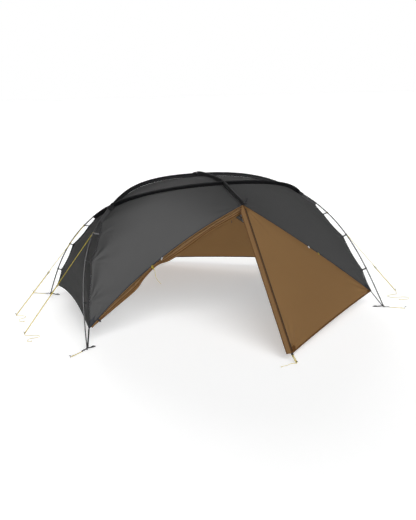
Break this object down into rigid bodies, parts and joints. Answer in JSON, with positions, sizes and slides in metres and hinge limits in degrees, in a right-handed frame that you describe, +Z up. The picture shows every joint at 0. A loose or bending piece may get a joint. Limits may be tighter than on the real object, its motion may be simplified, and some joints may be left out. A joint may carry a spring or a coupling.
{
  "type": "two-person tent",
  "caption": "Free-standing pole tent with a grey canopy, brown porch doors, a rolled-up door, pole sleeves, guy lines, ground stakes and loose cord ends.",
  "frame": {"origin": "on the ground under the middle of the canopy", "axes": "+X along the canopy's length, +Y towards the back porch, +Z up"},
  "size_m": [3.2856, 3.2264, 1.1094],
  "materials": {
    "canopy_grey": "coated ripstop polyester, mid grey",
    "door_brown": "coated ripstop polyester, tan brown",
    "sleeve_cloth": "black woven sleeve cloth",
    "webbing": "black woven webbing and tape",
    "pole": "dark anodised tube",
    "stake": "dark anodised rod",
    "cord": "yellow braided cord"
  },
  "bodies": {
    "root": {"door_back_left": "door_brown", "door_back_right": "door_brown", "door_front_left_rolled": "door_brown", "door_front_right": "door_brown", "end_panel_left": "canopy_grey", "end_panel_right": "canopy_grey", "foot_cord_back_left": "cord", "foot_cord_back_right": "cord", "foot_cord_front_left": "cord", "foot_cord_front_right": "cord", "foot_strap_back_left": "webbing", "foot_strap_back_right": "webbing", "foot_strap_front_left": "webbing", "foot_strap_front_right": "webbing", "guy_line_back_left": "cord", "guy_line_back_right": "cord", "guy_line_front_left": "cord", "guy_line_front_right": "cord", "guy_stake_back_left": "stake", "guy_stake_back_right": "stake", "guy_stake_front_left": "stake", "guy_stake_front_right": "stake", "guy_tail_back_left": "cord", "guy_tail_back_right": "cord", "guy_tail_front_left": "cord", "guy_tail_front_right": "cord", "leg_edging_back_left": "webbing", "leg_edging_back_right": "webbing", "leg_edging_front_left": "webbing", "leg_edging_front_right": "webbing", "main_pole_back": "pole", "main_pole_front": "pole", "panel_back_left": "canopy_grey", "panel_back_right": "canopy_grey", "panel_front_left": "canopy_grey", "panel_front_right": "canopy_grey", "peak_tab_back": "webbing", "peak_tab_front": "webbing", "porch_loop_back": "cord", "porch_loop_front": "cord", "porch_stake_back": "stake", "porch_stake_front": "stake", "porch_tail_back": "cord", "porch_tail_front": "cord", "ridge_pole": "pole", "ridge_pole_sleeve_back": "sleeve_cloth", "ridge_pole_sleeve_front": "sleeve_cloth", "ridge_pole_sleeve_middle": "sleeve_cloth", "ridge_sleeve_back": "sleeve_cloth", "ridge_sleeve_front": "sleeve_cloth", "roll_tie_tail": "cord", "roof_panel": "canopy_grey", "storm_flap_back": "door_brown", "storm_flap_front": "door_brown"}
  },
  "joints": []
}
